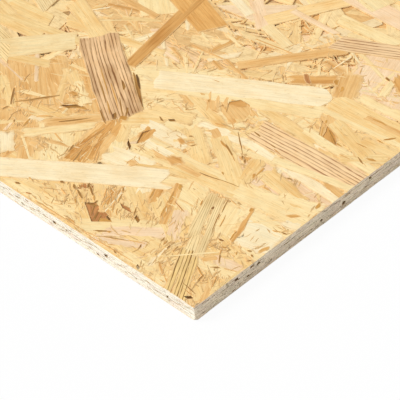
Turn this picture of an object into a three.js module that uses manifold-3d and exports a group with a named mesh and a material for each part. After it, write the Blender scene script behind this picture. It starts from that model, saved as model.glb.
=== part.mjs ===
// One panel of oriented strand board (OSB): wood strands pressed into a flat sheet and sawn square.
// Millimetres, +Z up. The origin is on the underside, in the middle of the sheet.
// X runs along the sheet, the way most of its face strands run.

import * as THREE from 'three';
import { mergeVertices } from 'three/addons/utils/BufferGeometryUtils.js';
import Module from 'manifold-3d';

// The sheet
const panelLength = 2440;
const panelWidth = 1220;
const panelThickness = 11;

// The strands: what lies open on a face or an edge is a whole number of strands deep or high
const strandThickness = 0.7;

// Gaps on the faces, where no strand covers the ones below
const gapLength = 16;
const gapWidth = 6;
const gapSpacing = 300; // about one gap in each square of this side
const gapMaxTurn = THREE.MathUtils.degToRad(35); // from the panel's length
const gapSkew = 0.3; // how far its side corners slide along it, as a share of its length
const deepGapShare = 0.5; // of all the gaps, those that go down through a second strand
const innerGapShare = 0.6; // size of the deeper part of a gap, against the whole

// Voids in the core, which the saw opened along the edges
const voidLength = 6;
const voidHeight = 1.5;
const voidDepth = 4;
const voidSpacing = 140;
const voidMouthSides = 6;
const coreShare = 0.45; // of the thickness, between the two face layers

// Splinters torn out of the arrises by the saw
const chipLength = 7;
const chipSize = 0.8; // how far it reaches into either face
const chipSpacing = 120;

// A knocked corner, at the +X and -Y end
const cornerKnockTop = 1.1;
const cornerKnockUnder = 2.2;

// How far sizes that differ from place to place go either side of their named value
const variation = 0.4;

// The seed of the scatter, and the factor and modulus of its random numbers
const scatterSeed = 20;
const randomFactor = 16807;
const randomModulus = 2147483647;

// Cutters stand proud of the surface that they cut by this much
const overshoot = 1;

// The open gaps near the +X and -Y corner: distances from the two sawn edges to the middle of each
const cornerGaps = [
  { fromEnd: 97, fromSide: 17.5, length: 24, width: 9.5, turn: -8, strandsDeep: 2 },
  { fromEnd: 87, fromSide: 32, length: 9, width: 2.4, turn: -8, strandsDeep: 2 },
  { fromEnd: 75.5, fromSide: 29.5, length: 6, width: 2.4, turn: -35, strandsDeep: 2 },
  { fromEnd: 8, fromSide: 4, length: 5, width: 2.6, turn: 28, strandsDeep: 3 },
  { fromEnd: 46.5, fromSide: 2.4, length: 4.5, width: 2, turn: -40, strandsDeep: 2 },
  { fromEnd: 125.5, fromSide: 83, length: 15, width: 6.5, turn: -82, strandsDeep: 2 },
  { fromEnd: 127, fromSide: 72, length: 9, width: 2, turn: -38, strandsDeep: 3 },
  { fromEnd: 179, fromSide: 74, length: 12, width: 3.6, turn: 30, strandsDeep: 2 },
  { fromEnd: 123.5, fromSide: 104.5, length: 5, width: 2.8, turn: 20, strandsDeep: 1 },
  { fromEnd: 43, fromSide: 156, length: 24, width: 8, turn: -35, strandsDeep: 2 },
  { fromEnd: 98, fromSide: 137, length: 22, width: 15, turn: -20, strandsDeep: 1 },
];

// The open voids near the same corner: along each edge from it, and up as a share of the thickness
const cornerVoidsOnSide = [
  { fromCorner: 21.5, up: 0.55, length: 4 },
  { fromCorner: 71, up: 0.55, length: 3 },
  { fromCorner: 114.5, up: 0.47, length: 4 },
];
const cornerVoidsOnEnd = [
  { fromCorner: 33, up: 0.71, length: 4 },
  { fromCorner: 46, up: 0.82, length: 5 },
  { fromCorner: 121, up: 0.4, length: 4 },
];

const woodColour = new THREE.Color().setStyle('#e6c591');

const wasm = await Module();
wasm.setup();

// The same board comes out each time
let randomState = scatterSeed;
function random() {
  randomState = (randomState * randomFactor) % randomModulus;
  return randomState / randomModulus;
}

// A number from -1 to 1
function eitherWay() {
  return 2 * random() - 1;
}

function varied(size) {
  return size * (1 + variation * eitherWay());
}

function toSolid(geometry) {
  const bare = geometry.clone();
  bare.deleteAttribute('normal');
  bare.deleteAttribute('uv');
  const merged = mergeVertices(bare);
  const triangles = merged.index ? merged.index.array : [...merged.attributes.position.array.keys()];
  return new wasm.Manifold(
    new wasm.Mesh({
      numProp: 3,
      vertProperties: new Float32Array(merged.attributes.position.array),
      triVerts: new Uint32Array(triangles),
    }),
  );
}

function toGeometry(solid) {
  const mesh = solid.getMesh();
  const geometry = new THREE.BufferGeometry();
  geometry.setAttribute('position', new THREE.BufferAttribute(mesh.vertProperties, 3));
  geometry.setIndex(new THREE.BufferAttribute(mesh.triVerts, 1));
  geometry.computeVertexNormals();
  return geometry;
}

// Takes many cutters out of a solid at once
function cutAll(solid, geometries) {
  return wasm.Manifold.difference([solid, ...geometries.map(toSolid)]);
}

function makeSheet() {
  const sheet = new THREE.BoxGeometry(panelLength, panelWidth, panelThickness);
  return sheet.translate(0, 0, panelThickness / 2);
}

// A four-cornered opening between crossing strands, seen square on
function gapOutline(length, width, skew) {
  const slide = skew * length;
  return new THREE.Shape([
    new THREE.Vector2(-length / 2, 0),
    new THREE.Vector2(-slide, -width / 2),
    new THREE.Vector2(length / 2, 0),
    new THREE.Vector2(slide, width / 2),
  ]);
}

// A straight-sided pocket that opens upward at z = 0
function makePocket(outline, depth) {
  const pocket = new THREE.ExtrudeGeometry(outline, { depth: depth + overshoot, bevelEnabled: false });
  return pocket.translate(0, 0, -depth);
}

// One gap: an opening one strand deep, with a smaller deeper part if it goes further down
function makeGap({ length, width, turn, strandsDeep, skew }) {
  const pockets = [makePocket(gapOutline(length, width, skew), strandThickness)];
  if (strandsDeep > 1) {
    const inner = gapOutline(length * innerGapShare, width * innerGapShare, -skew);
    pockets.push(makePocket(inner, strandThickness * strandsDeep));
  }
  pockets.forEach((pocket) => pocket.rotateZ(turn));
  return pockets;
}

function makeCornerGaps() {
  return cornerGaps.flatMap((gap) => {
    const turn = THREE.MathUtils.degToRad(gap.turn);
    const pockets = makeGap({ ...gap, turn, skew: gapSkew / 2 });
    const x = panelLength / 2 - gap.fromEnd;
    const y = gap.fromSide - panelWidth / 2;
    return pockets.map((pocket) => pocket.translate(x, y, panelThickness));
  });
}

// Middles of the cells that a length is shared into: an even number, so that its centre stays whole
function cellMiddles(length, spacing) {
  const count = 2 * Math.max(1, Math.round(length / spacing / 2));
  const cell = length / count;
  return Array.from({ length: count }, (_, i) => ({ middle: (i + 0.5) * cell - length / 2, cell }));
}

// A place in a cell, somewhere near its middle
function placeIn({ middle, cell }) {
  return middle + (variation * eitherWay() * cell) / 2;
}

// Gaps over a whole face, one somewhere near the middle of each cell
function makeScatteredGaps(leaveCorner) {
  const pockets = [];
  for (const along of cellMiddles(panelLength, gapSpacing)) {
    for (const across of cellMiddles(panelWidth, gapSpacing)) {
      const x = placeIn(along);
      const y = placeIn(across);
      const gap = makeGap({
        length: varied(gapLength),
        width: varied(gapWidth),
        turn: gapMaxTurn * eitherWay(),
        strandsDeep: random() < deepGapShare ? 2 : 1,
        skew: gapSkew * random(),
      });
      const inCorner = x > panelLength / 2 - along.cell && y < across.cell - panelWidth / 2;
      if (leaveCorner && inCorner) continue;
      pockets.push(...gap.map((pocket) => pocket.translate(x, y, 0)));
    }
  }
  return pockets;
}

function makeTopGaps() {
  return makeScatteredGaps(true).map((pocket) => pocket.translate(0, 0, panelThickness));
}

function makeUnderGaps() {
  return makeScatteredGaps(false).map((pocket) => pocket.rotateX(Math.PI));
}

// The four sawn edges: their length, how far out they stand, and how they are turned about Z.
// An edge is worked on as if it faced -Y, with its length along X.
const edges = [
  { length: panelLength, reach: panelWidth / 2, turn: 0, cornerAt: 1, corner: cornerVoidsOnSide },
  { length: panelWidth, reach: panelLength / 2, turn: Math.PI / 2, cornerAt: -1, corner: cornerVoidsOnEnd },
  { length: panelLength, reach: panelWidth / 2, turn: Math.PI, cornerAt: 1, corner: [] },
  { length: panelWidth, reach: panelLength / 2, turn: -Math.PI / 2, cornerAt: 1, corner: [] },
];

// A flat void that narrows to nothing as it goes in from the edge
function makeVoid(length, height, depth) {
  const cone = new THREE.ConeGeometry(1, 1, voidMouthSides);
  cone.rotateY(Math.PI / 2);
  cone.translate(0, 1 / 2, 0);
  return cone.scale(length / 2, depth, height / 2);
}

function makeEdgeVoids({ length, reach, turn, cornerAt, corner }) {
  const listed = corner.map((open) => ({
    x: cornerAt * (length / 2 - open.fromCorner),
    z: panelThickness * open.up,
    mouth: open.length,
  }));
  const scattered = cellMiddles(length, voidSpacing).map((cell) => ({
    x: placeIn(cell),
    z: (panelThickness * (1 + coreShare * eitherWay())) / 2,
    mouth: varied(voidLength),
  }));
  return [...listed, ...scattered].map(({ x, z, mouth }) =>
    makeVoid(mouth, varied(voidHeight), varied(voidDepth)).translate(x, -reach, z).rotateZ(turn),
  );
}

// A long shallow splinter: pointed at both ends, deepest in the middle
function makeChip() {
  const chip = new THREE.OctahedronGeometry(1);
  return chip.scale(varied(chipLength) / 2, varied(chipSize), varied(chipSize));
}

function makeEdgeChips({ length, reach, turn }) {
  const chipsAt = (z) =>
    cellMiddles(length, chipSpacing).map((cell) => makeChip().translate(placeIn(cell), -reach, z));
  return [...chipsAt(0), ...chipsAt(panelThickness)].map((chip) => chip.rotateZ(turn));
}

// The knocked corner loses a small slanting piece at the top and a larger one underneath
function makeCornerKnock() {
  return [
    { size: cornerKnockTop, z: panelThickness },
    { size: cornerKnockUnder, z: 0 },
  ].map(({ size, z }) => new THREE.OctahedronGeometry(size).translate(panelLength / 2, -panelWidth / 2, z));
}

function makePanel() {
  const cutters = [
    ...makeCornerGaps(),
    ...makeTopGaps(),
    ...makeUnderGaps(),
    ...edges.flatMap(makeEdgeVoids),
    ...edges.flatMap(makeEdgeChips),
    ...makeCornerKnock(),
  ];
  const solid = cutAll(toSolid(makeSheet()), cutters);
  const material = new THREE.MeshStandardMaterial({ color: woodColour, roughness: 0.75, metalness: 0 });
  const mesh = new THREE.Mesh(toGeometry(solid), material);
  mesh.name = 'osb_panel';
  return mesh;
}

const osbPanel = new THREE.Group();
osbPanel.add(makePanel());

export default osbPanel;
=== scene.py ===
# A full-size panel of oriented strand board, lying flat and seen close up over one corner.
# The panel is laid out in millimetres in its own frame: X along it, Y across it, Z up from its underside.

import math
from functools import partial

import bpy
import numpy as np
from mathutils import Matrix, Vector


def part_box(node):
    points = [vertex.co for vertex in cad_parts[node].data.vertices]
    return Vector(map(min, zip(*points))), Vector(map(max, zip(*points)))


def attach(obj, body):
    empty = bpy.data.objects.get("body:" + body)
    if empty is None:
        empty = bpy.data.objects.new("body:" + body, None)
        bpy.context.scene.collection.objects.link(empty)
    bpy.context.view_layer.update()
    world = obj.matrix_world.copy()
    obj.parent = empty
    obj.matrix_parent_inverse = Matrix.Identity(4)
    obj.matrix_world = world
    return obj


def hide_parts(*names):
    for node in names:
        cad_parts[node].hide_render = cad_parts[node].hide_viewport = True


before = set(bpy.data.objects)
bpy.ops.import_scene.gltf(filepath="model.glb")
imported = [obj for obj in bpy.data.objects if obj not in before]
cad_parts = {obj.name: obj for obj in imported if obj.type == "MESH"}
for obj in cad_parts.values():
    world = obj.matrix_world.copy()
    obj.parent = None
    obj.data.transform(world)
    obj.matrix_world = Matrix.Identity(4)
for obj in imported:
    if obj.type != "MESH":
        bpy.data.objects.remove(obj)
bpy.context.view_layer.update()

mm = 0.001
panelNode = "osb_panel"
panelLow, panelHigh = (np.array(corner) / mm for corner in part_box(panelNode))
panelSize = panelHigh - panelLow
panelThickness = panelSize[2]
dice = np.random.default_rng(23)


def linearColour(hexCode):  # sRGB hex to a linear colour with alpha
    parts = [int(hexCode[i:i + 2], 16) / 255 for i in (1, 3, 5)]
    return [c / 12.92 if c <= 0.04045 else ((c + 0.055) / 1.055) ** 2.4 for c in parts] + [1.0]


# The wood that strands are cut from. pale is the spring wood and ring the summer wood of each year;
# lines says how strongly the rings show, spacing how far apart they are in mm, and mottle how patchy it is.
woods = {
    "ivory": {"pale": "#ffedc3", "ring": "#fce1ae", "lines": 0.3, "spacing": 4.5, "mottle": 0.4},
    "cream": {"pale": "#fee6af", "ring": "#fad593", "lines": 0.35, "spacing": 4.0, "mottle": 0.5},
    "straw": {"pale": "#fbdb9d", "ring": "#f0c178", "lines": 0.4, "spacing": 3.2, "mottle": 0.6},
    "pink": {"pale": "#fadcb4", "ring": "#f1c99a", "lines": 0.3, "spacing": 3.0, "mottle": 0.6},
    "tan": {"pale": "#f3c785", "ring": "#dba157", "lines": 0.45, "spacing": 2.6, "mottle": 0.6},
    "honey": {"pale": "#e8b269", "ring": "#c88b40", "lines": 0.45, "spacing": 2.8, "mottle": 0.7},
    "larch": {"pale": "#fedaa6", "ring": "#9c6030", "lines": 1.35, "spacing": 2.7, "mottle": 0.15},
    "olive": {"pale": "#fde1a8", "ring": "#a07a38", "lines": 0.8, "spacing": 1.7, "mottle": 0.2},
    "oliveDark": {"pale": "#fdd992", "ring": "#7a4d0a", "lines": 1.5, "spacing": 1.95, "mottle": 0.25},
    "bark": {"pale": "#fbd19d", "ring": "#8a5a28", "lines": 1.0, "spacing": 2.5, "mottle": 0.4},
    "amber": {"pale": "#d9a254", "ring": "#b3792d", "lines": 0.3, "spacing": 2.0, "mottle": 0.6},
    "umber": {"pale": "#b0803e", "ring": "#80541f", "lines": 0.4, "spacing": 2.0, "mottle": 0.7},
    "rust": {"pale": "#cf9055", "ring": "#8a5427", "lines": 0.5, "spacing": 2.2, "mottle": 0.8},
    "char": {"pale": "#7a521f", "ring": "#523511", "lines": 0.3, "spacing": 2.0, "mottle": 0.5},
}

woodVariation = {"hue": 0.15, "spacing": 4, "lines": (0.8, 1.1)}  # from one strand of a wood to the next

strandShape = {
    "thickness": 0.7,
    "clear": 0.01,  # the least that a strand stays under the face, mm
    "shoulder": 1.2,  # how far in from its outline a strand reaches its full height
    "shoulderParts": 5,  # and at most this part of its size
    "shoulderDrop": 0.08,
    "soften": 0.6,  # how far the pressed edge takes on the tone of the board around it
    "spread": 0.18,  # the foot stands out from the top's outline by this much
    "uneven": 0.3,  # how far the places along it shift, against their spacing
    "ragged": 0.14,  # how far the fibres at an end differ in length, against the width
    "raggedWidest": 14,  # wider strands are no more ragged than at this width
    "raggedAt": {"torn": 1.0, "round": 0.4, "point": 0.5, "sawn": 0.3},
    "splinters": 0.3,  # share of the fibre bundles at an end that are torn far longer or shorter
    "splinterLength": 2.2,  # how far, against the raggedness
    "roundness": 0.92,
    "pointLength": 0.9,  # against the width
    "lensPower": 1.5,
    "curlMiddle": 0.33,  # keeps a bent strand about its own middle
    "sideWander": 0.5,  # how far a long side strays from straight, mm
    "wanderWidth": 6,  # and less on strands narrower than this
}


def lookOf(wood, spread=0.04):  # one strand's own colours and figure, a little off its kind's
    kind, vary = woods[wood], woodVariation
    tint = (1 + spread * dice.standard_normal()) * (1 + vary["hue"] * spread * dice.standard_normal(3))
    pale, ring = (np.array(linearColour(kind[part])[:3]) * tint for part in ("pale", "ring"))
    spacing = kind["spacing"] * math.exp(vary["spacing"] * spread * dice.standard_normal())
    lines = kind["lines"] * dice.uniform(*vary["lines"])
    return np.concatenate([pale, ring, [lines, 1 / spacing, kind["mottle"]]])


def withLook(strand, wood, *spread):
    strand["look"] = lookOf(wood, *spread)
    return strand


def drawWoods(shares, count=None):  # woods drawn by their shares, or one where no count is given
    weights = np.array(list(shares.values()))
    return dice.choice(list(shares), count, p=weights / weights.sum())


def placed(x, y, u, v, angle):  # (u, v) turned by an angle and moved to (x, y)
    cos, sin = math.cos(angle), math.sin(angle)
    return x + u * cos - v * sin, y + u * sin + v * cos


def gridRim(rows, columns):  # the points round a grid, counter-clockwise from above
    rim = [i * columns for i in range(rows)] + [(rows - 1) * columns + j for j in range(1, columns)]
    rim += [i * columns + columns - 1 for i in range(rows - 2, -1, -1)]
    return rim + list(range(columns - 2, 0, -1))


def gridCells(rows, columns):
    corners = [i * columns + j for i in range(rows - 1) for j in range(columns - 1)]
    return [[a, a + columns, a + columns + 1, a + 1] for a in corners]


def steps(size, count, shoulder):  # places along a strand, with one a shoulder in from either end
    if count < 4:
        return np.linspace(-size / 2, size / 2, count)
    shift = strandShape["uneven"]
    shoulder = min(shoulder, size / strandShape["shoulderParts"])
    inner = np.linspace(-size / 2 + shoulder, size / 2 - shoulder, count - 2)
    inner[1:-1] += (inner[1] - inner[0]) * dice.uniform(-shift, shift, count - 4)
    return np.concatenate([[-size / 2], inner, [size / 2]])


def endSlides(v, width, end, slant):  # how far each place across an end stands back
    shape = strandShape
    across = v / (width / 2)
    ragged = shape["ragged"] * min(width, shape["raggedWidest"])
    back = ragged * dice.uniform(-0.5, 0.5, len(v)) * shape["raggedAt"][end]
    splintered = dice.random(len(v)) < shape["splinters"]
    if end == "round":
        back += width / 2 * (1 - np.sqrt(np.clip(1 - across ** 2 * shape["roundness"], 0, 1)))
    elif end == "point":
        back += np.abs(across) * width * shape["pointLength"]
    elif end == "torn":
        back += splintered * dice.uniform(-shape["splinterLength"], shape["splinterLength"], len(v)) * ragged
    return back + v * math.tan(math.radians(slant))


# One strand: a grid of rows by columns over its top, a foot ring round it and one face underneath
def makeStrand(x, y, top, length, width, turn, rows=6, columns=6, ends=("torn", "torn"), slants=(0, 0),
               taper=0.0, curl=0.0, tilt=0.04, bow=0.03, lens=0.0, soften=None, shoulder=None):
    shape = strandShape
    soften = shape["soften"] if soften is None else soften
    shoulder = shape["shoulder"] if shoulder is None else shoulder
    u = steps(length, rows, shoulder)
    v = steps(width, columns, shoulder)
    share = u / length + 0.5
    narrow = (1 - taper * share) * (1 - lens * np.abs(2 * share - 1) ** shape["lensPower"])
    across = np.outer(narrow, v)
    along = np.tile(u[:, None], (1, columns))
    # The sides wander on their own, and the whole strand may be bent
    wander = shape["sideWander"] * min(1, width / shape["wanderWidth"])
    sides = dice.normal(0, wander, (rows, 2))
    toRight = v / width + 0.5
    across += sides[:, :1] * (1 - toRight) + sides[:, 1:] * toRight
    across += (curl * (4 * (share - 0.5) ** 2 - shape["curlMiddle"]))[:, None]
    edgeRows = 2 if rows >= 4 else 1
    along[:edgeRows] += endSlides(v, width, ends[0], slants[0])
    along[-edgeRows:] -= endSlides(v, width, ends[1], slants[1])
    # Height: a plane, a slight bow along the strand, and its sides pressed down
    tiltAlong, tiltAcross = dice.normal(0, tilt, 2)
    height = top + tiltAlong * along / length + tiltAcross * across / width
    height += dice.normal(0, bow) * (0.25 - (along / length) ** 2) * 4
    rim = np.full((rows, columns), 0.0 if rows > 2 else 0.5)  # 0 on the outline and 1 well inside
    if rows > 2:
        rim[1:-1, 1:-1] = 1
    height = np.minimum(height - shape["shoulderDrop"] * (1 - rim), panelThickness - shape["clear"])
    # The foot stands a little outside the outline
    loop = gridRim(rows, columns)
    flat = np.stack([along.ravel(), across.ravel()], 1)
    outline = flat[loop]
    outward = np.roll(outline, -1, 0) - np.roll(outline, 1, 0)
    outward = np.stack([outward[:, 1], -outward[:, 0]], 1)
    outward /= np.maximum(np.linalg.norm(outward, axis=1, keepdims=True), 1e-6)
    flat = np.concatenate([flat, outline + outward * shape["spread"]])
    heights = np.concatenate([height.ravel(), np.full(len(loop), top - shape["thickness"])])
    angle = math.radians(turn)
    base, count = rows * columns, len(loop)
    faces = [[base + k for k in range(count - 1, -1, -1)]]
    faces += [[base + k, base + (k + 1) % count, loop[(k + 1) % count], loop[k]] for k in range(count)]
    faces += gridCells(rows, columns)
    return {
        "points": np.stack([*placed(x, y, flat[:, 0], flat[:, 1], angle), heights], 1),
        "faces": faces, "skins": [pressed] * len(faces), "place": (x, y, angle), "seed": dice.uniform(0, 900),
        "rim": 1 - soften * (1 - np.concatenate([rim.ravel(), np.zeros(count)])),
    }


def grainOf(points, place, seed):  # mm along and across the strand, and a number that is its own
    x, y, angle = place
    along, across = placed(0, 0, points[:, 0] - x, points[:, 1] - y, -angle)
    return np.stack([along, across, np.full(len(points), seed)], 1)


def turnAt(a, b, c):  # how far a path bends to the left at b
    return (b[0] - a[0]) * (c[1] - b[1]) - (b[1] - a[1]) * (c[0] - b[0])


def holds(corners, point):  # whether a point lies inside a triangle that turns left
    return all(turnAt(a, b, point) > 0 for a, b in zip(corners, corners[1:] + corners[:1]))


# The triangles inside a closed loop, wound as it is. Corners are clipped one by one, and where none is
# fit to be clipped the flattest goes, so that the surface stays closed.
def fillLoop(points, loop):
    corners = np.array([points[i] for i in loop])
    facing = np.cross(corners - corners[0], np.roll(corners, -1, 0) - corners[0]).sum(0)
    axis = int(np.argmax(np.abs(facing)))
    sides = [(axis + 1) % 3, (axis + 2) % 3][::1 if facing[axis] > 0 else -1]
    flat = corners[:, sides].tolist()
    left = list(range(len(loop)))
    made = []
    while len(left) > 2:
        chosen, least = 0, math.inf
        for k, b in enumerate(left):
            a, c = left[k - 1], left[(k + 1) % len(left)]
            bend = turnAt(flat[a], flat[b], flat[c])
            clipped = [flat[a], flat[b], flat[c]]
            if bend > 0 and not any(holds(clipped, flat[i]) for i in left if i not in (a, b, c)):
                chosen = k
                break
            if abs(bend) < least:
                chosen, least = k, abs(bend)
        around = (left[chosen - 1], left[chosen], left[(chosen + 1) % len(left)])
        made.append([loop[i] for i in around])
        del left[chosen]
    return made


def halved(face, points):  # a face as triangles
    if len(face) == 3:
        return [face]
    if len(face) == 4:
        return [[face[0], face[1], face[2]], [face[0], face[2], face[3]]]
    return fillLoop(points, face)


# Cuts a strand by planes, given as a point and an outward direction, and closes each cut
def cutStrand(strand, planes, skin):
    points, rims = list(strand["points"]), list(strand["rim"])
    skinned = zip(strand["faces"], strand["skins"])
    faces = [(part, old) for face, old in skinned for part in halved(face, points)]
    for where, outward in planes:
        reach = (np.array(points) - where) @ outward
        kept, crossings, following = [], {}, {}
        for face, old in faces:
            outside = [reach[i] > 0 for i in face]
            if not any(outside):
                kept.append((face, old))
            if not any(outside) or all(outside):
                continue
            ring = []
            for k, i in enumerate(face):
                j = face[(k + 1) % 3]
                if not outside[k]:
                    ring.append(i)
                if outside[k] == outside[(k + 1) % 3]:
                    continue
                a, b = min(i, j), max(i, j)
                if (a, b) not in crossings:
                    share = reach[a] / (reach[a] - reach[b])
                    crossings[a, b] = len(points)
                    points.append(points[a] * (1 - share) + points[b] * share)
                    rims.append(rims[a] * (1 - share) + rims[b] * share)
                ring.append(crossings[a, b])
                if outside[k]:
                    entering = crossings[a, b]
                else:
                    leaving = crossings[a, b]
            following[entering] = leaving
            kept += [([ring[0], ring[k], ring[k + 1]], old) for k in range(1, len(ring) - 1)]
        while following:
            start, at = following.popitem()
            loop = [start]
            while at != start:
                loop.append(at)
                at = following.pop(at, start)
            if len(loop) > 2:
                kept += [(part, skin) for part in fillLoop(points, loop)]
        faces = kept
    if len(faces) < 4:
        return None
    used = sorted({i for face, _ in faces for i in face})
    place = {i: k for k, i in enumerate(used)}
    return dict(strand, points=np.array([points[i] for i in used]), rim=np.array([rims[i] for i in used]),
                faces=[[place[i] for i in face] for face, _ in faces], skins=[old for _, old in faces])


# Each kind of surface's place in the list of materials
pressed, sawnAcrossWithPaintedShade, torn, sawnAlongWithPaintedLight = range(4)

sawCuts = [  # the panel's four sides: which coordinate, which way it faces, and how its cut looks
    (0, 1, sawnAcrossWithPaintedShade), (0, -1, sawnAcrossWithPaintedShade), (1, 1, sawnAlongWithPaintedLight), (1, -1, sawnAlongWithPaintedLight),
]
sawWander = {"strand": (0.005, 0.12), "course": (0.01, 0.12)}  # how far inside the sides it cuts, mm
cornerKnock = [(1, 1.1), (-1, 2.2)]  # what the near corner has lost at the top and underneath, mm each way


def sideAt(axis, way):  # where one of the panel's sides lies
    return (panelHigh if way > 0 else panelLow)[axis]


def sawnOff(strand):  # what the saw leaves of a strand that reaches past the panel's sides
    for axis, way, skin in sawCuts:
        side = sideAt(axis, way) - way * dice.uniform(*sawWander["strand"])
        if (way * strand["points"][:, axis]).max() <= way * side:
            continue
        where, outward = np.zeros(3), np.zeros(3)
        where[axis], outward[axis] = side, way
        strand = cutStrand(strand, [(where, outward)], skin)
        if strand is None:
            return None
    return knocked(strand)


def knocked(strand):  # what the knocked corner leaves of a strand
    for up, size in cornerKnock:
        corner = np.array([panelHigh[0], panelLow[1], sideAt(2, up)])
        outward = np.array([1, -1, up]) / math.sqrt(3)
        where = corner - outward * size / math.sqrt(3)
        if ((strand["points"] - where) @ outward).max() > 0:
            strand = cutStrand(strand, [(where, outward)], sawnAlongWithPaintedLight)
        if strand is None:
            return None
    return strand


gapEdge = {"wander": 0.35, "margin": 1}  # how far strands end short of a gap's outline, and reach past it, mm
gapSkew = 0.15  # how far the side corners of a plain gap slide along it, as a share of its length


def gapCorners(gap):  # the corners of a gap's opening, counter-clockwise
    if "corners" in gap:
        return [np.array(corner) for corner in gap["corners"]]
    halfLength, halfWidth, slide = gap["length"] / 2, gap["width"] / 2, gap["length"] * gapSkew
    corners = [(-halfLength, 0), (-slide, -halfWidth), (halfLength, 0), (slide, halfWidth)]
    return [np.array(placed(gap["x"], gap["y"], u, v, math.radians(gap["turn"]))) for u, v in corners]


def carved(strands, gap):  # the strands with a gap's opening cut out of them
    corners = gapCorners(gap)
    middle = np.array([gap["x"], gap["y"]])
    near = gap["length"] / 2 + gapEdge["margin"]
    result = []
    for strand in strands:
        low, high = strand["points"].min(0), strand["points"].max(0)
        if high[2] < gap["above"] or (middle + near < low[:2]).any() or (middle - near > high[:2]).any():
            result.append(strand)
            continue
        inside = []
        for corner, following in zip(corners, corners[1:] + corners[:1]):
            run = following - corner
            outward = np.array([run[1], -run[0], 0]) / np.linalg.norm(run)
            where = np.array([*corner, 0]) + outward * dice.uniform(0, gapEdge["wander"])
            # The walls of the opening take the torn skin, whose brown is partly torn wood and partly painted
            # shade in the gap
            piece = cutStrand(strand, inside + [(where, -outward)], torn)
            if piece:
                result.append(piece)
            inside.append((where, outward))
    return result


# How a listed strand's outline is finished
outlines = {
    "plain": {},
    "soft": {"soften": 0.85, "shoulder": 2.4},  # pressed flush, so that it fades into what lies round it
    "roundStart": {"ends": ("round", "torn"), "soften": 0.3, "shoulder": 0.8},
    "roundFinish": {"ends": ("torn", "round"), "soften": 0.2, "shoulder": 0.8},
    "lens": {"lens": 0.75, "soften": 0.7},
    "wedge": {"taper": 0.8, "ends": ("sawn", "point"), "soften": 0.7},
}

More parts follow.
